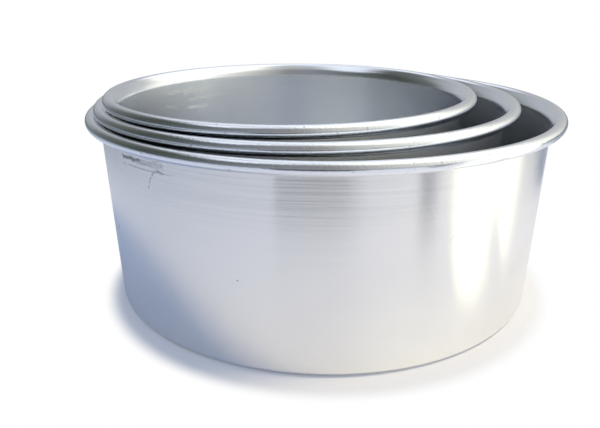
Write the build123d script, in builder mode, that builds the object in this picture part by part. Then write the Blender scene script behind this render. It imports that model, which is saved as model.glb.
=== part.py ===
from build123d import *
from math import acos, cos, degrees, radians, sin, sqrt, tan
import os

# Three round cake tins, nested. Each one is a single disc of sheet metal, spun into a flat floor,
# a slightly tapered wall, a lip that flares out and a hollow bead rolled over and under the lip.
# The origin is on the large tin's axis, in the plane that it rests on, with +Z up.

# Sheet, the same on each tin
sheet = 1.0
wall_draft = 1.9  # lean of the wall outwards, in degrees
corner_radius = 2.5  # between floor and wall, in the middle of the sheet

# Rolled rim, the same on each tin
rim_overhang = 7.2  # from the inside of the wall to the outer edge of the bead
bead_radius = 2.6  # outside radius of the bead
lip_slope = 52.0  # rise of the lip above the horizontal, in degrees
lip_bend = 6.0  # radius between wall and lip, in the middle of the sheet
curl_gap = 0.6  # left open between the cut edge of the bead and the underside of the lip

# Nest
large_mouth_radius = 101.6
large_height = 86.6
mouth_step = 12.7  # each tin's mouth radius is less by this than that of the tin it stands in
rim_rise = 4.0  # each rim is higher by this than that of the tin it stands in

# Each smaller tin is pushed sideways until its bead lies against the next larger rim
rim_clearance = 0.3
medium_push_angle = 206.0  # directions of the pushes, in degrees from +X
small_push_angle = 214.0

medium_mouth_radius = large_mouth_radius - mouth_step
small_mouth_radius = medium_mouth_radius - mouth_step
medium_height = large_height + rim_rise - sheet
small_height = medium_height + rim_rise - sheet


def tin_section(mouth_radius, height):
    """Half section of a tin: x is the distance from its axis and y the height above its resting face."""
    slope = radians(lip_slope)
    half_sheet = sheet / 2
    curl_radius = bead_radius - half_sheet
    bead_centre = Vector(mouth_radius + rim_overhang - bead_radius, height - bead_radius)

    # Corners of the sheet's middle line
    lip_top = bead_centre + Vector(-sin(slope), cos(slope)) * curl_radius
    wall_radius = mouth_radius + half_sheet
    wall_top = Vector(wall_radius, lip_top.Y - (lip_top.X - wall_radius) * tan(slope))
    floor_radius = wall_radius - (wall_top.Y - half_sheet) * tan(radians(wall_draft))
    corners = [(0, half_sheet), (floor_radius, half_sheet), wall_top, lip_top]

    # The curl goes round until its cut edge is curl_gap short of the underside of the lip
    curl_opening = degrees(acos((bead_radius - sheet - curl_gap) / bead_radius))

    with BuildSketch() as section:
        with BuildLine():
            pan = FilletPolyline(*corners, radius=[corner_radius, lip_bend])
            JernArc(pan @ 1, pan % 1, curl_radius, curl_opening - 360)
        trace(line_width=sheet)
    return section.sketch


# Sideways push that leaves rim_clearance where a bead first meets the next larger rim: on its bead,
# on its lip below the bead or, if the rims are far apart in height, beside the smaller tin's own wall
bead_reach = 2 * bead_radius + rim_clearance
beside_bead = sqrt(max(bead_reach**2 - rim_rise**2, 0))
beside_lip = (bead_reach - rim_rise * cos(radians(lip_slope))) / sin(radians(lip_slope))
beside_wall = sheet + rim_clearance
push = Vector(mouth_step - max(beside_bead, beside_lip, beside_wall), 0, 0)

# Each floor lies flat on the floor below it
large_seat = Vector(0, 0, 0)
medium_seat = large_seat + push.rotate(Axis.Z, medium_push_angle) + Vector(0, 0, sheet)
small_seat = medium_seat + push.rotate(Axis.Z, small_push_angle) + Vector(0, 0, sheet)

nest = {
    "large_tin": (large_seat, large_mouth_radius, large_height),
    "medium_tin": (medium_seat, medium_mouth_radius, medium_height),
    "small_tin": (small_seat, small_mouth_radius, small_height),
}

os.makedirs("parts", exist_ok=True)
for name, (seat, mouth_radius, height) in nest.items():
    with BuildPart() as tin:
        with BuildSketch(Plane(origin=seat, x_dir=(1, 0, 0), z_dir=(0, -1, 0))):
            add(tin_section(mouth_radius, height))
        revolve(axis=Axis(seat, (0, 0, 1)))
    tin.part.label = name
    export_step(tin.part, f"parts/{name}.step")
    print(name, "rests at", seat, "and its rim is", seat.Z + height, "high")
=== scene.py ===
"""Three round cake tins of spun aluminium, one inside the next, on a white studio floor.

Each tin is one sheet of metal: a flat floor, a wall that leans out, a flared lip and a bead rolled
over and under the lip. Lengths are in metres and angles in degrees unless a name says otherwise.
"""

import logging
import math
from dataclasses import dataclass, field
from enum import Enum
from typing import Optional, Sequence, Union

import bpy
import numpy as np
from mathutils import Matrix, Vector


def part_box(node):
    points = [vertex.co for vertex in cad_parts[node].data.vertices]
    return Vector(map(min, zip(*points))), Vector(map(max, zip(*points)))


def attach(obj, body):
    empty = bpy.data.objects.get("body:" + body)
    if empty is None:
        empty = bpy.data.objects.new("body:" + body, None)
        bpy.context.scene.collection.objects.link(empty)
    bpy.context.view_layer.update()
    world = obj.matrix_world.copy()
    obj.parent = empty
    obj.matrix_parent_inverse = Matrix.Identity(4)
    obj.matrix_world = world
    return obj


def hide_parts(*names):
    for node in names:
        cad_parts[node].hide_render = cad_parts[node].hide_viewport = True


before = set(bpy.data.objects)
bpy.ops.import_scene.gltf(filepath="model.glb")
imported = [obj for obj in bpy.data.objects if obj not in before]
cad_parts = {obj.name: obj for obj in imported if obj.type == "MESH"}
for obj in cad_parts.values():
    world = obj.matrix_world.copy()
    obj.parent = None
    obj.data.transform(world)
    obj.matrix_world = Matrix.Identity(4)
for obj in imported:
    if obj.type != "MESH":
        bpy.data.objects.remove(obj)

LOG = logging.getLogger("cake_tins")
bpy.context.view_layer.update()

MM = 0.001
FULL_TURN = 360.0
NOISE_MIDDLE = 0.5  # the value that smooth noise lies about
RING_MIDDLE = 0.5  # where azimuth 0 stands on the ramp of the room's directions
WHITE = (1.0, 1.0, 1.0)
TURNING = "turning"  # attribute: direction from the tin's axis, and length along the sheet
ROLLED = "rolled"  # attribute: 1 on the bead, 0 on the floor and wall
INSIDE = "inside"  # attribute: 1 on the face towards the food, 0 on the other

Input = Union["Value", bpy.types.NodeSocket, float, Sequence[float]]


# Shader graphs


class NodeGraph:
    """Nodes of one material or world, added by one method each time."""

    def __init__(self, tree: bpy.types.NodeTree) -> None:
        """Takes an empty or default node tree and clears it."""
        self.tree = tree
        self.tree.nodes.clear()

    def node(self, kind: str, settings: Optional[dict] = None, **inputs: Input) -> bpy.types.Node:
        """Adds a node.

        Args:
            kind: Blender's type of the node, such as ShaderNodeMath.
            settings: The node's own properties, set first. The key stops holds a ramp's stops, as pairs of
                place and colour.
            inputs: Values or links of its sockets. A key is a socket's name, with _ for each space, or _ and
                its number.

        Returns:
            The new node.
        """
        made = self.tree.nodes.new(kind)
        for name, setting in (settings or {}).items():
            if name == "stops":
                self._set_stops(made.color_ramp, setting)
            else:
                setattr(made, name, setting)
        for key, given in inputs.items():
            self._feed(self._socket(made, key), given)
        return made

    @staticmethod
    def _socket(node: bpy.types.Node, key: str) -> bpy.types.NodeSocket:
        """The input that a key names: its number after _, or its name with _ for each space."""
        if key[0] == "_":
            return node.inputs[int(key[1:])]
        return node.inputs[key.replace("_", " ")]

    @staticmethod
    def _set_stops(ramp: bpy.types.ColorRamp, stops: Sequence[tuple[float, Sequence[float]]]) -> None:
        """Gives a colour ramp its stops, in order."""
        while len(ramp.elements) < len(stops):
            ramp.elements.new(1.0)
        for element, (place, colour) in zip(ramp.elements, stops):
            element.position = place
            element.color = (*colour, 1.0)

    def _feed(self, socket: bpy.types.NodeSocket, given: Input) -> None:
        """Links a socket to what is given, or sets its value."""
        if isinstance(given, Value):
            self.tree.links.new(given.socket, socket)
        elif isinstance(given, bpy.types.NodeSocket):
            self.tree.links.new(given, socket)
        elif socket.type == "RGBA" and len(given) == 3:
            socket.default_value = (*given, 1.0)
        else:
            socket.default_value = given

    def value(self, socket: bpy.types.NodeSocket) -> "Value":
        """Wraps a number socket, so that arithmetic works on it."""
        return Value(self, socket)

    def mix_colour(self, factor: Input, start: Input, end: Input) -> bpy.types.NodeSocket:
        """Mixes two colours, by the Mix node's inputs 6 and 7 and output 2, which are the ones for colours.

        Args:
            factor: 0 gives the start and 1 the end.
            start: The first colour.
            end: The second colour.

        Returns:
            The mixed colour.
        """
        mixed = self.node("ShaderNodeMix", {"data_type": "RGBA"}, _0=factor, _6=start, _7=end)
        return mixed.outputs[2]

    def vector(self, operation: str, *terms: Input) -> bpy.types.NodeSocket:
        """Vector arithmetic.

        Args:
            operation: Blender's name of the operation.
            terms: Vectors, in the order of the node's sockets.

        Returns:
            The vector that comes out, or the number where the operation gives one.
        """
        inputs = {f"_{place}": term for place, term in enumerate(terms)}
        made = self.node("ShaderNodeVectorMath", {"operation": operation}, **inputs)
        number = operation in ("DOT_PRODUCT", "LENGTH", "DISTANCE")
        return made.outputs["Value" if number else "Vector"]

    def combine(self, x: Input, y: Input, z: Input) -> bpy.types.NodeSocket:
        """A vector of three numbers."""
        return self.node("ShaderNodeCombineXYZ", None, X=x, Y=y, Z=z).outputs["Vector"]

    def split(self, vector: Input) -> tuple["Value", "Value", "Value"]:
        """The three numbers of a vector."""
        outputs = self.node("ShaderNodeSeparateXYZ", None, Vector=vector).outputs
        return self.value(outputs["X"]), self.value(outputs["Y"]), self.value(outputs["Z"])

    def noise(self, vector: Input, scale: float, detail: float, roughness: float) -> "Value":
        """Smooth noise.

        Args:
            vector: Where it is read.
            scale: Waves for each unit of the vector.
            detail: Octaves added to the first.
            roughness: How strong each octave is next to the one before.

        Returns:
            A number about NOISE_MIDDLE.
        """
        made = self.node(
            "ShaderNodeTexNoise", {"noise_dimensions": "3D"},
            Vector=vector, Scale=scale, Detail=detail, Roughness=roughness,
        )
        return self.value(made.outputs["Fac"])


class Value:
    """A number socket whose arithmetic adds Math nodes to its graph."""

    def __init__(self, graph: NodeGraph, socket: bpy.types.NodeSocket) -> None:
        """Keeps the graph and the socket."""
        self.graph = graph
        self.socket = socket

    def _math(self, operation: str, *terms: Input) -> "Value":
        """The Math node of an operation on these terms, in order."""
        inputs = {f"_{place}": term for place, term in enumerate(terms)}
        made = self.graph.node("ShaderNodeMath", {"operation": operation}, **inputs)
        return Value(self.graph, made.outputs[0])

    def __add__(self, other: Input) -> "Value":
        """self + other."""
        return self._math("ADD", self, other)

    def __radd__(self, other: Input) -> "Value":
        """other + self."""
        return self._math("ADD", other, self)

    def __sub__(self, other: Input) -> "Value":
        """self - other."""
        return self._math("SUBTRACT", self, other)

    def __rsub__(self, other: Input) -> "Value":
        """other - self."""
        return self._math("SUBTRACT", other, self)

    def __mul__(self, other: Input) -> "Value":
        """self * other."""
        return self._math("MULTIPLY", self, other)

    def __rmul__(self, other: Input) -> "Value":
        """other * self."""
        return self._math("MULTIPLY", other, self)

    def __truediv__(self, other: Input) -> "Value":
        """self / other."""
        return self._math("DIVIDE", self, other)

    def __rtruediv__(self, other: Input) -> "Value":
        """other / self."""
        return self._math("DIVIDE", other, self)

    def angle_to(self, other: Input) -> "Value":
        """Angle in radians whose sine goes with self and cosine with other."""
        return self._math("ARCTAN2", self, other)

    def larger(self, other: Input) -> "Value":
        """The larger of self and other."""
        return self._math("MAXIMUM", self, other)

    def clamped(self) -> "Value":
        """self, kept between 0 and 1."""
        return self._math("MINIMUM", self._math("MAXIMUM", self, 0.0), 1.0)

    def rise(self, low: float, high: float) -> "Value":
        """Smooth step: 0 at low and before, 1 at high and past it. low may be the larger of the two."""
        if low > high:
            return 1.0 - self.rise(high, low)
        made = self.graph.node(
            "ShaderNodeMapRange", {"interpolation_type": "SMOOTHSTEP"},
            Value=self, From_Min=low, From_Max=high,
        )
        return Value(self.graph, made.outputs["Result"])


# The sheet's section


class Turn(Enum):
    """Which way the sheet bends, seen with the tin's axis to the left."""

    LEFT = 1
    RIGHT = -1


class SheetLine:
    """The middle line of a bent sheet: straight runs and arcs, each tangent to the one before."""

    def __init__(self, start: complex, heading: float) -> None:
        """Starts a line.

        Args:
            start: Distance from the axis plus 1j times the height.
            heading: Direction in degrees, 0 away from the axis and 90 upwards.
        """
        self.points = np.array([start])
        self.headings = np.array([math.radians(heading)])
        self.rolled = np.array([0.0])

    def _add(self, points: np.ndarray, headings: np.ndarray, rolled: np.ndarray) -> None:
        """Puts new points, their headings and their share of roll at the end of the line."""
        self.points = np.concatenate([self.points, points])
        self.headings = np.concatenate([self.headings, headings])
        self.rolled = np.concatenate([self.rolled, rolled])

    def run(self, length: float, steps: int) -> None:
        """Straight on: point = last point + distance times the unit vector of the heading."""
        share = np.linspace(0, 1, steps + 1)[1:]
        heading = self.headings[-1]
        rolled = np.full(steps, self.rolled[-1])
        self._add(self.points[-1] + length * share * np.exp(1j * heading), np.full(steps, heading), rolled)

    def bend(
        self, radius: float, angle: float, turn: Turn, steps: int, rolled: Optional[float] = None
    ) -> None:
        """An arc: the centre is one radius to the side of the turn, and the point goes round it.

        Args:
            radius: Of the middle line.
            angle: How far the heading turns.
            turn: To which side.
            steps: Pieces that it is divided into.
            rolled: Share of roll at its end, or None to keep the last.
        """
        share = np.linspace(0, 1, steps + 1)[1:]
        heading = self.headings[-1]
        sign = turn.value
        centre = self.points[-1] + sign * 1j * radius * np.exp(1j * heading)
        headings = heading + sign * math.radians(angle) * share
        start = self.rolled[-1]
        end = start if rolled is None else rolled
        rolls = start + (end - start) * share
        self._add(centre - sign * 1j * radius * np.exp(1j * headings), headings, rolls)


@dataclass(frozen=True)
class Section:
    """Half section of a tin, in the sizes that all the tins share."""

    mouth_radius: float
    height: float
    sheet: float = 1.0 * MM
    wall_draft: float = 1.9
    corner_radius: float = 2.5 * MM  # middle of the sheet
    rim_overhang: float = 7.2 * MM  # inside of the wall to the outside of the bead
    bead_radius: float = 2.6 * MM  # outside
    lip_slope: float = 52.0
    lip_bend: float = 6.0 * MM  # middle of the sheet
    curl_gap: float = 0.6 * MM  # cut edge to the underside of the lip
    edge_steps: int = 6  # pieces of the half circle that closes the cut edge

    def middle_line(self) -> SheetLine:
        """The middle of the sheet, from the axis to its cut edge inside the bead."""
        slope = math.radians(self.lip_slope)
        draft = math.radians(self.wall_draft)
        curl_radius = self.bead_radius - self.sheet / 2
        rim_radius = self.mouth_radius + self.rim_overhang
        bead_centre = complex(rim_radius - self.bead_radius, self.height - self.bead_radius)
        lip_top = bead_centre + 1j * curl_radius * np.exp(1j * slope)
        wall_radius = self.mouth_radius + self.sheet / 2
        wall_top = lip_top - (lip_top.real - wall_radius) * complex(1, math.tan(slope))
        wall_run = (wall_top.imag - self.sheet / 2) / math.cos(draft)
        floor_radius = wall_top.real - wall_run * math.sin(draft)
        corner_angle = FULL_TURN / 4 - self.wall_draft
        lip_angle = corner_angle - self.lip_slope
        corner_cut = self.corner_radius * math.tan(math.radians(corner_angle) / 2)
        lip_cut = self.lip_bend * math.tan(math.radians(lip_angle) / 2)
        curl_reach = self.bead_radius - self.sheet - self.curl_gap
        curl_opening = math.degrees(math.acos(curl_reach / self.bead_radius))

        line = SheetLine(1j * self.sheet / 2, heading=0)
        line.run(floor_radius - corner_cut, steps=5)
        line.bend(self.corner_radius, corner_angle, Turn.LEFT, steps=10)
        line.run(wall_run - corner_cut - lip_cut, steps=8)
        line.bend(self.lip_bend, lip_angle, Turn.RIGHT, steps=8)
        line.run(abs(lip_top - wall_top) - lip_cut, steps=2)
        line.bend(curl_radius, self.lip_slope, Turn.RIGHT, steps=8, rolled=1.0)
        line.bend(curl_radius, FULL_TURN - curl_opening - self.lip_slope, Turn.RIGHT, steps=30)
        return line

    def skin(self) -> tuple[np.ndarray, np.ndarray, np.ndarray, np.ndarray]:
        """The sheet's whole surface: inside face outwards, cut edge, and outside face back to the axis.

        Each face is the middle line moved half the sheet to one side. The cut edge is a half circle.

        Returns:
            Points as complex numbers, their length along the skin, their share of roll, and 1 for the inside.
        """
        line = self.middle_line()
        side = 1j * np.exp(1j * line.headings) * self.sheet / 2
        inside, outside = line.points + side, (line.points - side)[::-1]
        turned = np.linspace(0, math.pi, self.edge_steps + 1)[1:-1]
        edge = line.points[-1] + side[-1] * np.exp(-1j * turned)
        skin = np.concatenate([inside, edge, outside])
        rolled = np.concatenate([line.rolled, np.ones(len(edge)), line.rolled[::-1]])
        within = np.concatenate([np.ones(len(inside)), np.zeros(len(edge) + len(outside))])
        along = np.concatenate([[0.0], np.cumsum(np.abs(np.diff(skin)))])
        return skin, along, rolled, within


# Finishes


class Face(Enum):
    """The two faces of the sheet."""

    OUTSIDE = 0
    INSIDE = 1


@dataclass(frozen=True)
class Mark:
    """A mark on a wall, straight from one place to another.

    Places are pairs of an angle from +X and a height.
    """

    start: tuple[float, float]
    end: tuple[float, float]
    width: float
    strength: float
    face: Face = Face.OUTSIDE
    raggedness: float = 2.5  # how far noise moves its edge, in widths

    def mask(self, graph: NodeGraph, angle: Value, height: Value, radius: float, ragged: Value) -> Value:
        """Strength of the mark at each place: it falls off with the distance from the straight line.

        Args:
            graph: The material's nodes.
            angle: Of the place, in radians.
            height: Of the place.
            radius: That turns an angle into a length.
            ragged: Noise that makes its edge uneven.

        Returns:
            Its strength there, 0 away from it.
        """
        here = graph.combine(angle * radius, height, 0.0)
        start = Vector((math.radians(self.start[0]) * radius, self.start[1], 0))
        end = Vector((math.radians(self.end[0]) * radius, self.end[1], 0))
        run = end - start
        offset = graph.vector("SUBTRACT", here, start)
        share = graph.value(graph.vector("DOT_PRODUCT", offset, run / run.length_squared)).clamped()
        nearest = graph.vector("MULTIPLY", graph.combine(share, share, share), run)
        distance = graph.value(graph.vector("DISTANCE", offset, nearest))
        uneven = distance + (ragged - NOISE_MIDDLE) * (self.raggedness * self.width)
        return uneven.rise(self.width, 0.0) * self.strength


@dataclass(frozen=True)
class SpunAluminium:
    """Sheet aluminium with the fine lines that a spinning lathe leaves round it.

    A range is a pair of noise values: what it brings out starts at the first and is complete at the second.
    """

    colour: tuple[float, float, float] = (0.92, 0.91, 0.89)
    # painted reflection: the inside face gets a bluer copy of the metal's colour, for the bluish light
    # reflected inside the tin
    inside_painted_tint: tuple[float, float, float] = (0.87, 0.90, 0.95)
    tarnish: tuple[float, float, float] = (0.66, 0.67, 0.67)
    grime: tuple[float, float, float] = (0.16, 0.15, 0.14)
    film: tuple[float, float, float] = (0.97, 0.98, 0.99)
    roughness: float = 0.22
    inside_roughness: float = 0.30
    rim_roughness: float = 0.14
    line_roughness: float = 0.05  # roughness that lines, scratches and smudges add
    scratch_roughness: float = 0.25
    film_roughness: float = 0.5
    lip_depth: float = 6.8 * MM  # from the top of the rim to where the polished lip starts
    lip_full: float = 0.7  # share of that depth where its polish is complete
    anisotropy: float = 0.9
    across_lines: float = 0.25  # quarter turn, so that highlights spread across the lines
    line_pitch: float = 1.0 * MM
    line_waves: float = 1.4  # noise waves in a radian round the tin, few so that a line runs far
    line_range: tuple[float, float] = (0.40, 0.70)
    lines_from: float = 52.0 * MM  # heights between which the lathe's lines come up
    lines_full: float = 72.0 * MM
    smear_pitch: float = 45.0 * MM
    smear_flatness: float = 2.2  # how many times a smear is as wide as it is high
    smear_range: tuple[float, float] = (0.45, 0.75)
    grain_pitch: float = 0.9 * MM
    grain_range: tuple[float, float] = (0.5, 0.7)
    pit_pitch: float = 1.3 * MM
    pit_range: tuple[float, float] = (0.70, 0.76)
    smear_tarnish: float = 0.12  # share of tarnish in smears, in lines and on the bead's grain
    line_tarnish: float = 0.20
    grain_tarnish: float = 0.25
    inside_bright: float = 0.7  # share of the lines' tarnish that the inside lacks
    pit_grime: float = 0.35
    line_depth: float = 0.012 * MM
    grain_depth: float = 0.07 * MM
    pit_depth: float = 0.04 * MM
    wall_grain: float = 0.02  # share of the grain's depth on the wall and under the bead
    grain_from: float = 3.4 * MM  # depths below the top of the rim between which the bead's grain comes up
    grain_full: float = 1.8 * MM
    ragged_pitch: float = 1.0 * MM  # of the uneven edges of marks
    ragged_waves: float = 30.0  # noise waves in a radian round the tin

    def material(
        self, name: str, axis: Vector, radius: float, top: float, marks: Sequence[Mark] = ()
    ) -> bpy.types.Material:
        """The finish as a material.

        Args:
            name: Of the material.
            axis: The point where the tin's axis meets its underside.
            radius: Of its wall.
            top: Height of its rim.
            marks: Wear on this tin's wall.

        Returns:
            The material.
        """
        made = bpy.data.materials.new(name)
        made.use_nodes = True
        graph = NodeGraph(made.node_tree)
        turning = graph.node("ShaderNodeAttribute", {"attribute_name": TURNING}).outputs["Vector"]
        rolled = graph.value(graph.node("ShaderNodeAttribute", {"attribute_name": ROLLED}).outputs["Fac"])
        inside = graph.value(graph.node("ShaderNodeAttribute", {"attribute_name": INSIDE}).outputs["Fac"])
        place = graph.node("ShaderNodeTexCoord").outputs["Object"]
        from_axis = graph.vector("SUBTRACT", place, axis)
        _, _, height = graph.split(from_axis)

        turned = graph.vector("MULTIPLY", turning, (self.line_waves, self.line_waves, 1 / self.line_pitch))
        lines = graph.noise(turned, scale=1.0, detail=3.0, roughness=0.6)
        flattened = graph.vector("MULTIPLY", from_axis, (1.0, 1.0, self.smear_flatness))
        smears = graph.noise(flattened, 1 / self.smear_pitch, detail=4.0, roughness=0.6)
        grain = graph.noise(place, 1 / self.grain_pitch, detail=3.0, roughness=0.65)
        pits = graph.noise(place, 1 / self.pit_pitch, detail=1.0, roughness=0.5)
        pits = pits.rise(*self.pit_range) * rolled

        upper = height.rise(self.lines_from, self.lines_full) * (1.0 - rolled)
        cuts = lines.rise(*self.line_range) * upper
        dull = smears.rise(*self.smear_range) * self.smear_tarnish
        dull = dull + cuts * (1.0 - inside * self.inside_bright) * self.line_tarnish
        dull = dull + rolled * grain.rise(*self.grain_range) * self.grain_tarnish
        # painted reflection: a bluer tint on the inside face
        colour = graph.mix_colour(inside, self.colour, self.inside_painted_tint)
        colour = graph.mix_colour(dull, colour, self.tarnish)
        lip = height.rise(top - self.lip_depth, top - self.lip_depth * self.lip_full)
        smooth = rolled.larger(inside * lip)
        rough = self.roughness + inside * (self.inside_roughness - self.roughness) * (1.0 - smooth)
        rough = rough + smooth * (self.rim_roughness - self.roughness)
        rough = rough + (lines - NOISE_MIDDLE) * self.line_roughness
        grimy = pits * self.pit_grime
        scratches = [mark for mark in marks if mark.face is Face.OUTSIDE]
        smudges = [mark for mark in marks if mark.face is Face.INSIDE]
        if scratches:
            worn = self._wear(graph, turning, height, radius, scratches) * (1.0 - inside)
            grimy = grimy.larger(worn)
            rough = rough + worn * self.scratch_roughness
        colour = graph.mix_colour(grimy, colour, self.grime)
        if smudges:
            worn = self._wear(graph, turning, height, radius, smudges) * inside
            colour = graph.mix_colour(worn, colour, self.film)
            rough = rough + worn * self.film_roughness

        on_bead = rolled * height.rise(top - self.grain_from, top - self.grain_full)
        grainy = self.wall_grain + on_bead * (1 - self.wall_grain)
        relief = cuts * -self.line_depth + grain * grainy * self.grain_depth - pits * self.pit_depth
        bump = graph.node("ShaderNodeBump", None, Strength=1.0, Distance=1.0, Height=relief)
        shader = graph.node(
            "ShaderNodeBsdfPrincipled", None,
            Base_Color=colour, Metallic=1.0, Roughness=rough, Normal=bump.outputs["Normal"],
            Anisotropic=self.anisotropy, Anisotropic_Rotation=self.across_lines,
        )
        graph.node("ShaderNodeOutputMaterial", None, Surface=shader.outputs["BSDF"])
        return made

    def _wear(
        self, graph: NodeGraph, turning: Input, height: Value, radius: float, marks: Sequence[Mark]
    ) -> Value:
        """These marks of a wall in one mask, with uneven edges that run along the lathe's lines."""
        cosine, sine, _ = graph.split(turning)
        angle = sine.angle_to(cosine)
        waves = (self.ragged_waves, self.ragged_waves, 1 / self.ragged_pitch)
        turned = graph.vector("MULTIPLY", turning, waves)
        ragged = graph.noise(turned, scale=1.0, detail=2.0, roughness=0.6)
        masks = [mark.mask(graph, angle, height, radius, ragged) for mark in marks]
        total = masks[0]
        for mask in masks[1:]:
            total = total.larger(mask)
        return total


# The tins


@dataclass
class SpunTin:
    """One tin, its sizes read from the frame.

    A wave of the rim is its share of out_of_round, its crests in a turn, and how many times it takes the
    phase.
    """

    node: str
    finish: SpunAluminium
    marks: Sequence[Mark] = ()
    steps_round: int = 640
    out_of_round: float = 0.06 * MM
    rim_waves: tuple[tuple[float, int, int], ...] = ((0.6, 2, 1), (0.3, 3, 2), (0.1, 5, 1))
    section: Section = field(init=False)
    seat: Vector = field(init=False)

    def __post_init__(self) -> None:
        """Reads the seat, the mouth and the height from the node's box."""
        low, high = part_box(self.node)
        self.seat = Vector(((low.x + high.x) / 2, (low.y + high.y) / 2, low.z))
        outside_radius = (high.x - low.x) / 2
        self.section = Section(outside_radius - Section.rim_overhang, high.z - low.z)

    def build(self) -> bpy.types.Object:
        """Makes the tin's mesh, a surface of revolution.

        A point is (radius cos angle, radius sin angle, height) about the seat, with the radius and the height
        from the section's skin. The hand leaves the rim a little out of round: the radius gains a few
        cosines of the angle, in proportion to the height.

        Returns:
            The tin's object.
        """
        skin, along, rolled, within = self.section.skin()
        rings = skin[1:-1]
        angle = np.linspace(0, 2 * math.pi, self.steps_round, endpoint=False)
        wave = self._wave(angle)
        share = np.clip(rings.imag / self.section.height, 0, 1)
        radius = rings.real[:, None] + share[:, None] * wave[None, :]
        height = np.broadcast_to(rings.imag[:, None], radius.shape)
        grid = np.stack([radius * np.cos(angle), radius * np.sin(angle), height], axis=-1).reshape(-1, 3)
        poles = np.array([[0, 0, skin[0].imag], [0, 0, skin[-1].imag]])
        points = np.concatenate([grid, poles]) + np.array(self.seat)

        mesh = bpy.data.meshes.new(self.node)
        self._fill(mesh, points, len(rings))
        turning = np.stack(
            [
                np.broadcast_to(np.cos(angle), radius.shape),
                np.broadcast_to(np.sin(angle), radius.shape),
                np.broadcast_to(along[1:-1, None], radius.shape),
            ],
            axis=-1,
        ).reshape(-1, 3)
        turning = np.concatenate([turning, [[0, 0, along[0]], [0, 0, along[-1]]]])
        mesh.attributes.new(TURNING, "FLOAT_VECTOR", "POINT").data.foreach_set("vector", turning.ravel())
        for attribute, shares in ((ROLLED, rolled), (INSIDE, within)):
            spread = np.concatenate([np.repeat(shares[1:-1], self.steps_round), [shares[0], shares[-1]]])
            mesh.attributes.new(attribute, "FLOAT", "POINT").data.foreach_set("value", spread)
        made = bpy.data.objects.new(f"{self.node}_sheet", mesh)
        bpy.context.scene.collection.objects.link(made)
        return made

    def _wave(self, angle: np.ndarray) -> np.ndarray:
        """How far the rim is out of round at each angle: the sum of its waves' cosines.

        The phase is the mouth's radius in millimetres, so that no two tins are alike.
        """
        phase = self.section.mouth_radius / MM
        cosines = [share * np.cos(waves * angle + times * phase) for share, waves, times in self.rim_waves]
        return self.out_of_round * sum(cosines)

    def _fill(self, mesh: bpy.types.Mesh, points: np.ndarray, rings: int) -> None:
        """Puts the points and faces into the mesh: quads between neighbouring rings, and a fan at each pole.

        Args:
            mesh: The empty mesh.
            points: The rings' points, ring by ring, and then the two poles.
            rings: How many rings there are.
        """
        steps = self.steps_round
        ring, step = np.meshgrid(np.arange(rings - 1), np.arange(steps), indexing="ij")
        after = (step + 1) % steps
        this_ring, next_ring = ring * steps, (ring + 1) * steps
        quads = np.stack(
            [this_ring + step, this_ring + after, next_ring + after, next_ring + step], axis=-1
        ).reshape(-1, 4)
        here = np.arange(steps)
        there = (here + 1) % steps
        first, last = rings * steps, rings * steps + 1
        start_fan = np.stack([np.full(steps, first), there, here], axis=-1)
        base = (rings - 1) * steps
        end_fan = np.stack([np.full(steps, last), base + here, base + there], axis=-1)
        corners = np.concatenate([quads.ravel(), start_fan.ravel(), end_fan.ravel()])
        sizes = np.concatenate([np.full(len(quads), 4), np.full(2 * steps, 3)])
        mesh.vertices.add(len(points))
        mesh.vertices.foreach_set("co", points.astype(np.float32).ravel())
        mesh.loops.add(len(corners))
        mesh.loops.foreach_set("vertex_index", corners.astype(np.int32))
        mesh.polygons.add(len(sizes))
        starts = np.concatenate([[0], np.cumsum(sizes)[:-1]])
        mesh.polygons.foreach_set("loop_start", starts.astype(np.int32))
        mesh.update(calc_edges=True)
        mesh.shade_smooth()

    def dress(self, tin: bpy.types.Object) -> None:
        """Gives the tin its finish and its place on its body."""
        name = f"{self.node}_aluminium"
        radius = self.section.mouth_radius + self.section.sheet
        metal = self.finish.material(name, self.seat, radius, self.section.height, self.marks)
        tin.data.materials.append(metal)
        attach(tin, self.node)
        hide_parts(self.node)


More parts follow.
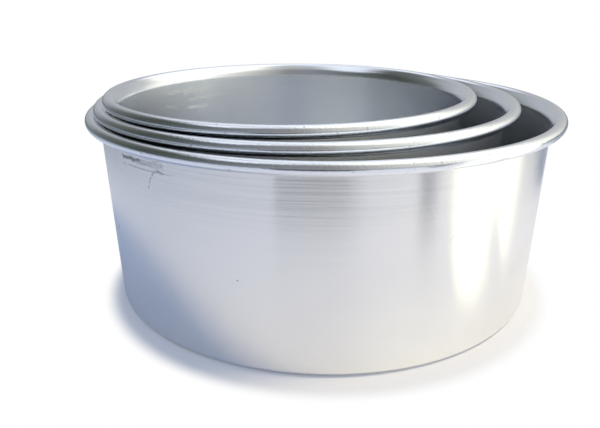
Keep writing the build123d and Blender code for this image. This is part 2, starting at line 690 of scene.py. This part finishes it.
@dataclass
class Nest:
    """The tins, from the outermost to the innermost."""

    finish: SpunAluminium = SpunAluminium()
    large_marks: tuple[Mark, ...] = (
        Mark((-138.3, 77.0 * MM), (-131.5, 77.8 * MM), 1.2 * MM, 0.70),
        Mark((-132.0, 77.2 * MM), (-124.0, 78.2 * MM), 1.7 * MM, 0.25),
        Mark((-138.5, 74.3 * MM), (-121.0, 75.3 * MM), 0.4 * MM, 0.35),
        Mark((-128.9, 68.0 * MM), (-127.9, 72.0 * MM), 0.5 * MM, 0.30),
        Mark((-127.9, 72.0 * MM), (-126.3, 75.3 * MM), 0.6 * MM, 0.40),
        Mark((-125.3, 75.6 * MM), (-123.9, 75.0 * MM), 0.8 * MM, 0.45),
        Mark((-150.4, 39.8 * MM), (-149.0, 41.6 * MM), 1.8 * MM, 0.25),
        Mark((-106.9, 38.8 * MM), (-106.7, 38.9 * MM), 0.5 * MM, 0.35),
        Mark((-62.5, 53.0 * MM), (-60.6, 56.7 * MM), 0.25 * MM, 0.30),
    )
    small_marks: tuple[Mark, ...] = (
        Mark((151.0, 82.0 * MM), (144.9, 82.6 * MM), 0.9 * MM, 0.70, Face.INSIDE),
        Mark((142.3, 82.2 * MM), (130.8, 82.0 * MM), 1.6 * MM, 0.65, Face.INSIDE),
        Mark((125.3, 78.0 * MM), (124.6, 78.0 * MM), 0.8 * MM, 0.90, Face.INSIDE),
        Mark((139.6, 77.3 * MM), (126.0, 77.9 * MM), 0.8 * MM, 0.50, Face.INSIDE),
        Mark((140.9, 73.2 * MM), (131.4, 72.6 * MM), 1.4 * MM, 0.35, Face.INSIDE),
        Mark((152.0, 76.0 * MM), (146.5, 74.0 * MM), 1.2 * MM, 0.10, Face.INSIDE),
    )

    def build(self) -> None:
        """Makes and dresses each tin, and reports it."""
        tins = (("large_tin", self.large_marks), ("medium_tin", ()), ("small_tin", self.small_marks))
        for node, marks in tins:
            tin = SpunTin(node, self.finish, marks)
            made = tin.build()
            tin.dress(made)
            mouth = tin.section.mouth_radius / MM
            LOG.info("%s: %d faces, mouth radius %.1f mm", made.name, len(made.data.polygons), mouth)


# The studio


@dataclass(frozen=True)
class Direction:
    """What stands round the table in one direction: its azimuth from +X and its brightness."""

    name: str
    azimuth: float
    colour: tuple[float, float, float]


@dataclass(frozen=True)
class Side:
    """One side of the room. It comes up as a level direction turns towards its azimuth."""

    azimuth: float
    begins: float  # cosine of the angle from the azimuth where it begins
    full: float  # cosine where it is complete

    def share(self, graph: NodeGraph, level: Input) -> Value:
        """How far a level direction is on this side, from 0 to 1."""
        towards = (math.cos(math.radians(self.azimuth)), math.sin(math.radians(self.azimuth)), 0.0)
        return graph.value(graph.vector("DOT_PRODUCT", level, towards)).rise(self.begins, self.full)


@dataclass(frozen=True)
class WindowBeam:
    """Light from the window on the floor, in front at the right, which only the metal shows.

    It spreads from its start between two directions, which are degrees from +X. An edge or end is a pair of
    distances or directions: there is nothing at the first, and all of what it belongs to at the second.
    """

    start: tuple[float, float, float] = (60.0 * MM, -78.0 * MM, 0.0)
    side_from: float = -33.0
    side_to: float = 27.0
    side_blur: float = 12.0
    near_edge: tuple[float, float] = (36.0 * MM, 60.0 * MM)  # along +X from its start
    colour: tuple[float, float, float] = (1.6, 1.6, 1.38)
    strength: float = 0.9
    bar_place: float = 17.5 * MM  # shadow of a window bar, along +Y from the start
    bar_edge: tuple[float, float] = (14.0 * MM, 9.5 * MM)
    bar_end: tuple[float, float] = (205.0 * MM, 158.0 * MM)
    sill_slope: float = 0.28  # shadow of the sill, whose edge slants
    sill_edge: tuple[float, float] = (-22.0 * MM, -16.0 * MM)
    sill_end: tuple[float, float] = (105.0 * MM, 92.0 * MM)
    spill_strength: float = 0.15  # light spilt beside the base
    spill_edge: tuple[float, float] = (165.0 * MM, 115.0 * MM)  # from the middle of the nest
    spill_start: tuple[float, float] = (-95.0, -60.0)
    spill_end: tuple[float, float] = (-25.0, -66.0)

    def share(self, graph: NodeGraph, place: Input) -> Value:
        """How bright the beam and its spill are at a place on the floor.

        Args:
            graph: The floor's nodes.
            place: The place.

        Returns:
            1 for the beam's colour and 0 for none.
        """
        ahead, beside, _ = graph.split(graph.vector("SUBTRACT", place, self.start))
        side = beside.angle_to(ahead) * math.degrees(1)
        beam = side.rise(self.side_from, self.side_from + self.side_blur)
        beam = beam * side.rise(self.side_to, self.side_to - self.side_blur)
        beam = beam * ahead.rise(*self.near_edge)
        off_bar = (beside - self.bar_place).larger(self.bar_place - beside)
        bar = off_bar.rise(*self.bar_edge) * ahead.rise(*self.bar_end)
        sill = (beside - ahead * self.sill_slope).rise(*self.sill_edge) * ahead.rise(*self.sill_end)
        beam = beam * (1.0 - bar.larger(sill))
        return (beam * self.strength).larger(self._spill(graph, place))

    def _spill(self, graph: NodeGraph, place: Input) -> Value:
        """How bright the spilt light is at a place on the floor."""
        x, y, _ = graph.split(place)
        turn = y.angle_to(x) * math.degrees(1)
        near = graph.value(graph.vector("LENGTH", place)).rise(*self.spill_edge)
        return near * turn.rise(*self.spill_start) * turn.rise(*self.spill_end) * self.spill_strength


@dataclass(frozen=True)
class Lamp:
    """A rectangular lamp that lights the floor and faces the middle of the nest, with its power in watts."""

    name: str
    place: tuple[float, float, float]
    size: tuple[float, float]
    power: float
    colour: tuple[float, float, float]

    def build(self) -> None:
        """Makes the lamp. Neither the camera nor the metal shows it."""
        data = bpy.data.lights.new(self.name, "AREA")
        data.shape = "RECTANGLE"
        data.size, data.size_y = self.size
        data.energy = self.power
        data.color = self.colour
        lamp = bpy.data.objects.new(self.name, data)
        lamp.location = self.place
        lamp.rotation_mode = "QUATERNION"
        lamp.rotation_quaternion = (-Vector(self.place)).to_track_quat("-Z", "Y")
        lamp.visible_camera = False
        lamp.visible_glossy = False
        bpy.context.scene.collection.objects.link(lamp)


@dataclass(frozen=True)
class Card:
    """An upright matt card that only the metal shows. It thins out from fade_from to its end."""

    name: str
    start: tuple[float, float]
    end: tuple[float, float]
    height: float
    fade_from: float  # share of its length
    shade: tuple[float, float, float]
    fade_in: float = 0.0  # share of its length over which it comes up

    def build(self) -> None:
        """Makes the card of one face, which stands on the floor."""
        made = bpy.data.materials.new(self.name)
        made.use_nodes = True
        graph = NodeGraph(made.node_tree)
        start, end = Vector((*self.start, 0)), Vector((*self.end, 0))
        run = end - start
        place = graph.node("ShaderNodeTexCoord").outputs["Object"]
        offset = graph.vector("SUBTRACT", place, start)
        along = graph.value(graph.vector("DOT_PRODUCT", offset, run / run.length_squared))
        matt = graph.node("ShaderNodeBsdfDiffuse", None, Color=self.shade)
        clear = graph.node("ShaderNodeBsdfTransparent")
        faded = along.rise(self.fade_from, 1.0)
        if self.fade_in:
            faded = faded.larger(along.rise(self.fade_in, 0.0))
        both = graph.node("ShaderNodeMixShader", None, _0=faded, _1=matt.outputs[0], _2=clear.outputs[0])
        graph.node("ShaderNodeOutputMaterial", None, Surface=both.outputs[0])
        up = Vector((0, 0, self.height))
        card = stage_face(self.name, (start, end, end + up, start + up), made)
        card.visible_camera = False
        card.visible_diffuse = False
        card.visible_shadow = False


def stage_face(
    name: str, corners: Sequence[Sequence[float]], material: bpy.types.Material
) -> bpy.types.Object:
    """A stage piece of one face with these corners."""
    mesh = bpy.data.meshes.new(name)
    mesh.from_pydata(corners, [], [(0, 1, 2, 3)])
    mesh.materials.append(material)
    made = bpy.data.objects.new(name, mesh)
    bpy.context.scene.collection.objects.link(made)
    return made


@dataclass
class Studio:
    """White floor, the room that the metal shows, one soft lamp and the cards."""

    floor_size: float = 6.0
    floor_colour: tuple[float, float, float] = (0.80, 0.80, 0.80)
    # painted shade: the colour that the floor darkens to far from the pool, where its light falls off
    floor_far_painted_shade: tuple[float, float, float] = (0.28, 0.30, 0.25)
    pool_centre: tuple[float, float, float] = (0.0, -150.0 * MM, 0.0)
    pale_to: float = 220.0 * MM  # distances from there between which the floor loses its light
    dim_from: float = 700.0 * MM
    beam: WindowBeam = WindowBeam()
    white_centre: tuple[float, float, float] = (1.8 * MM, -5.9 * MM, 0.0)
    white_start: float = 100.5 * MM  # distances from there between which the camera sees the floor turn white
    white_end: float = 109.5 * MM
    shadow_lift: float = 0.16  # share of that white beside the base
    mirror_lift: float = 0.012  # share of the beam's colour all over the floor that the metal shows
    key: Lamp = Lamp("key", (0.460, -0.122, 0.763), (0.19, 0.19), 5.13, (1.0, 0.85, 0.57))
    fill: tuple[float, float, float] = (0.405, 0.515, 0.78)  # light of the room on the floor
    ring: tuple[Direction, ...] = (
        Direction("dark_corner", -180, (0.06, 0.068, 0.055)),
        Direction("shaded_wall", -150, (0.10, 0.115, 0.11)),
        Direction("room_behind_viewer", -105, (0.24, 0.25, 0.27)),
        Direction("dark_shelves", -84, (0.27, 0.265, 0.255)),
        Direction("pale_wall", -60, (0.57, 0.56, 0.52)),
        Direction("window_post", -42, (0.76, 0.75, 0.68)),
        Direction("window_frame", -31, (0.93, 0.92, 0.85)),
        Direction("window_start", -18, (1.20, 1.20, 1.08)),
        Direction("window_end", 20, (1.25, 1.25, 1.12)),
        Direction("curtain", 36, (1.00, 0.98, 0.89)),
        Direction("shelf", 48, (0.65, 0.64, 0.61)),
        Direction("back_wall", 75, (0.49, 0.495, 0.505)),
        Direction("far_wall", 110, (0.46, 0.48, 0.515)),
        Direction("far_corner", 128, (0.37, 0.385, 0.40)),
        Direction("doorway", 145, (0.145, 0.155, 0.15)),
        Direction("dark_corner", 180, (0.06, 0.068, 0.055)),
    )
    wall_top: float = 0.56  # sine of the angle over the level where the walls end
    wall_sides: tuple[tuple[Side, float], ...] = (
        (Side(-88.0, 0.20, 0.95), 0.36),  # what the side behind the viewer adds to it
        (Side(172.0, 0.60, 1.00), 0.25),  # what the left adds to it
    )
    wall_blur: float = 0.14  # sine over which they turn into sky
    low_wall: tuple[float, float, float] = (1.00, 0.98, 0.92)  # pale strip near the floor, in front
    low_side: Side = Side(-45.0, -0.3, 0.5)
    low_edge: tuple[float, float] = (0.25, 0.05)  # sines between which the strip comes up, downwards
    low_strength: float = 0.14
    sky: tuple[float, float, float] = (0.98, 1.03, 1.12)
    sky_sides: tuple[tuple[Side, tuple[float, float, float]], ...] = (
        (Side(5.0, 0.25, 0.70), (1.35, 1.35, 1.18)),  # over the window
        (Side(-95.0, 0.60, 1.00), (0.66, 0.67, 0.66)),  # over the viewer
        (Side(145.0, 0.85, 1.00), (0.64, 0.67, 0.71)),  # at the left
    )
    cards: tuple[Card, ...] = (
        Card("card_in_front", (-0.094, -0.300), (0.108, -0.300), 0.085, 0.62, (0.10, 0.10, 0.10)),
        Card("card_at_the_right", (0.138, -0.201), (0.171, -0.166), 0.085, 0.45, (0.50, 0.49, 0.45), 0.35),
        Card("card_at_the_back", (0.195, 0.135), (0.252, 0.049), 0.060, 0.35, (0.60, 0.61, 0.64)),
    )

    def build(self) -> None:
        """Makes the floor, the room, the lamp and the cards."""
        self._floor()
        self._room()
        self.key.build()
        for card in self.cards:
            card.build()
        LOG.info("room: %s", ", ".join(direction.name for direction in self.ring))

    def _floor(self) -> None:
        """A white floor in the plane that the tins rest on.

        The camera sees it turn to pure white away from the nest, and keeps the shadow beside it.
        """
        made = bpy.data.materials.new("white_floor")
        made.use_nodes = True
        graph = NodeGraph(made.node_tree)
        seen, mirrored = self._rays(graph)
        place = graph.node("ShaderNodeTexCoord").outputs["Object"]
        from_pool = graph.value(graph.vector("DISTANCE", place, self.pool_centre))
        # painted shade: the floor's colour darkens away from the pool
        far = from_pool.rise(self.pale_to, self.dim_from)
        matt_colour = graph.mix_colour(far, self.floor_colour, self.floor_far_painted_shade)
        matt = graph.node("ShaderNodeBsdfDiffuse", None, Color=matt_colour)
        from_white = graph.value(graph.vector("DISTANCE", place, self.white_centre))
        away = from_white.rise(self.white_start, self.white_end)
        glow_colour = graph.mix_colour(mirrored, WHITE, self.beam.colour)
        glow = graph.node("ShaderNodeEmission", None, Color=glow_colour, Strength=1.0)
        lifted = mirrored * (self.mirror_lift + self.beam.share(graph, place))
        share = seen * (self.shadow_lift + away * (1 - self.shadow_lift)) + lifted
        white = graph.node("ShaderNodeMixShader", None, _0=share, _1=matt.outputs[0], _2=glow.outputs[0])
        graph.node("ShaderNodeOutputMaterial", None, Surface=white.outputs[0])
        half = self.floor_size / 2
        stage_face("floor", ((-half, -half, 0), (half, -half, 0), (half, half, 0), (-half, half, 0)), made)

    @staticmethod
    def _rays(graph: NodeGraph) -> tuple[Value, Value]:
        """1 on what the camera sees, and 1 on what metal and glass show."""
        rays = graph.node("ShaderNodeLightPath").outputs
        seen = graph.value(rays["Is Camera Ray"])
        mirrored = graph.value(rays["Is Glossy Ray"]).larger(graph.value(rays["Is Transmission Ray"]))
        return seen, mirrored

    def _room(self) -> None:
        """The world: white to the camera, an even light to the floor, and a room with a window to the metal.

        Its brightness runs round the ring of directions, up to walls that are highest behind the viewer and
        at the left, and the sky or ceiling is above them. The walls end in the middle of their blur.
        """
        world = bpy.data.worlds.new("room")
        bpy.context.scene.world = world
        world.use_nodes = True
        graph = NodeGraph(world.node_tree)
        direction = graph.node("ShaderNodeTexCoord").outputs["Generated"]
        x, y, z = graph.split(direction)
        turn = y.angle_to(x) / (2 * math.pi) + RING_MIDDLE
        stops = [(stop.azimuth / FULL_TURN + RING_MIDDLE, stop.colour) for stop in self.ring]
        around = graph.node("ShaderNodeValToRGB", {"stops": stops}, Fac=turn).outputs["Color"]
        level = graph.vector("NORMALIZE", graph.combine(x, y, 0.0))
        sky = self.sky
        for side, side_colour in self.sky_sides:
            sky = graph.mix_colour(side.share(graph, level), sky, side_colour)
        top = self.wall_top
        for side, more in self.wall_sides:
            top = top + side.share(graph, level) * more
        above = ((z - top) / self.wall_blur + 0.5).rise(0.0, 1.0)
        low = z.rise(*self.low_edge) * self.low_side.share(graph, level) * self.low_strength
        colour = graph.mix_colour(above, graph.mix_colour(low, around, self.low_wall), sky)
        seen, mirrored = self._rays(graph)
        colour = graph.mix_colour(mirrored, self.fill, colour)
        colour = graph.mix_colour(seen, colour, WHITE)
        shader = graph.node("ShaderNodeBackground", None, Color=colour, Strength=1.0)
        graph.node("ShaderNodeOutputWorld", None, Surface=shader.outputs[0])


@dataclass(frozen=True)
class Viewpoint:
    """Where the photograph was taken from, in radians and metres."""

    place: tuple[float, float, float] = (3.797 * MM, -302.257 * MM, 141.973 * MM)
    yaw: float = -0.05
    pitch: float = 0.3585
    roll: float = -0.0028
    focal_pixels: float = 634.068
    picture_width: float = 600.0
    sensor_width_mm: float = 36.0
    nearest: float = 0.01
    farthest: float = 50.0

    def build(self) -> None:
        """Makes the scene's camera.

        It looks along (sin yaw cos pitch, cos yaw cos pitch, -sin pitch), turned about that line by the roll.
        """
        data = bpy.data.cameras.new("photograph_view")
        data.sensor_width = self.sensor_width_mm
        data.lens = self.focal_pixels / self.picture_width * self.sensor_width_mm
        data.clip_start, data.clip_end = self.nearest, self.farthest
        forward = Vector(
            (
                math.sin(self.yaw) * math.cos(self.pitch),
                math.cos(self.yaw) * math.cos(self.pitch),
                -math.sin(self.pitch),
            )
        )
        level = Vector((math.cos(self.yaw), -math.sin(self.yaw), 0))
        upward = level.cross(forward)
        right = math.cos(self.roll) * level + math.sin(self.roll) * upward
        above = math.cos(self.roll) * upward - math.sin(self.roll) * level
        turned = Matrix((right, above, -forward)).transposed().to_4x4()
        camera = bpy.data.objects.new("photograph_view", data)
        camera.matrix_world = Matrix.Translation(self.place) @ turned
        bpy.context.scene.collection.objects.link(camera)
        bpy.context.scene.camera = camera


def main() -> None:
    """Builds the nest, the studio and the camera."""
    logging.basicConfig(level=logging.INFO, format="%(name)s: %(message)s")
    bpy.context.scene.view_settings.view_transform = "Standard"
    Nest().build()
    Studio().build()
    Viewpoint().build()


if __name__ == "__main__":
    main()
